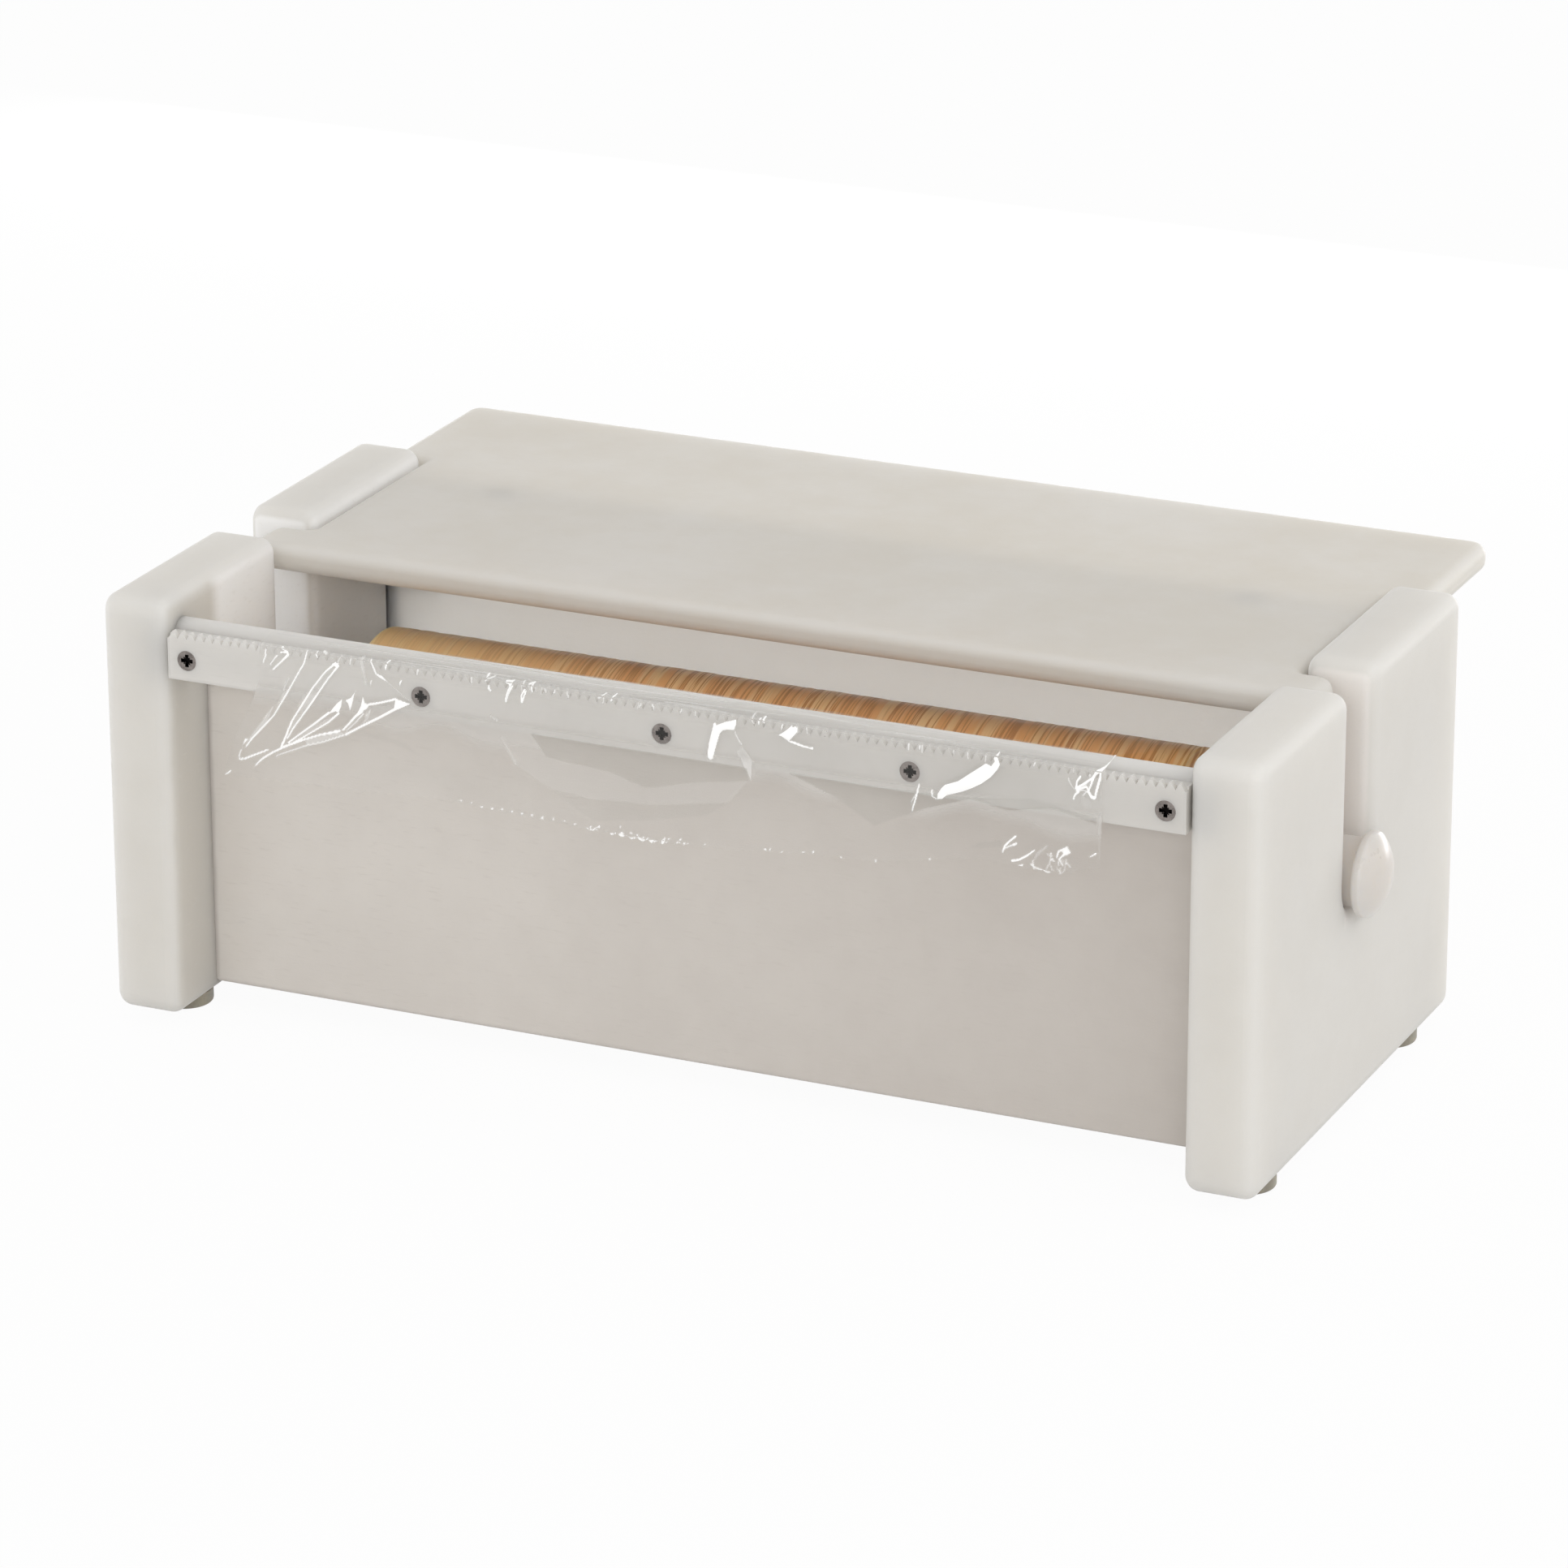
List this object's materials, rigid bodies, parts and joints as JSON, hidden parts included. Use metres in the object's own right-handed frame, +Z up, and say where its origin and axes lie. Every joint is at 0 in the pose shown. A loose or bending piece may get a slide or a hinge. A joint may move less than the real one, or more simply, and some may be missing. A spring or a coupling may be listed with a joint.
{
  "type": "countertop film dispenser",
  "caption": "Free-standing dispenser for rolls of cling film: slotted white cheeks carry a spindle, with a rail and saw-edged strip in front and a loose lid on top.",
  "frame": {"origin": "on the surface that the feet stand on, under the middle of the whole dispenser", "axes": "+Z up, +X along the roll to the right as seen from the front, -Y towards the user"},
  "size_m": [0.437, 0.2578, 0.154],
  "materials": {
    "white_board": "sawn and lightly sanded white polyethylene board",
    "white_rod": "turned white polyethylene, faint tool marks",
    "white_rail": "milled white polyethylene, smooth",
    "strip_plastic": "slightly translucent white plastic with cut teeth",
    "screw_steel": "bright zinc-plated steel",
    "core_board": "wound brown board tube",
    "amber_film": "wound clear film over a brown tube, streaked round it",
    "clear_film": "thin clear cling film",
    "foot_rubber": "smoky, slightly translucent rubber"
  },
  "bodies": {
    "frame": {"left_cheek": "white_board", "right_cheek": "white_board", "front_panel": "white_board", "rear_panel": "white_board", "front_panel_dowels": "white_rod", "rear_panel_dowels": "white_rod", "cutter_rail": "white_rail", "cutter_strip": "strip_plastic", "strip_screws": "screw_steel", "lid_pins": "white_rod", "film_web": "clear_film", "film_flap": "clear_film", "front_left_foot": "foot_rubber", "front_right_foot": "foot_rubber", "rear_left_foot": "foot_rubber", "rear_right_foot": "foot_rubber", "foot_screws": "screw_steel"},
    "spindle": {"spindle": "white_rod"},
    "film_roll": {"roll_core": "core_board", "film_roll": "amber_film"},
    "lid": {"lid_board": "white_board"}
  },
  "joints": [
    {"name": "spindle_rise", "type": "slide", "parent": "frame", "child": "spindle", "axis": [0, 0, 1], "range_m": [0, 0.017], "deforming": ["film_web"]},
    {"name": "roll_spin", "type": "hinge", "parent": "spindle", "child": "film_roll", "pos_m": [0, -0.03305, 0.087], "axis": [1, 0, 0], "continuous": true},
    {"name": "lid_lift", "type": "slide", "parent": "frame", "child": "lid", "axis": [0, 0, 1], "range_m": [0, 0.08]}
  ]
}
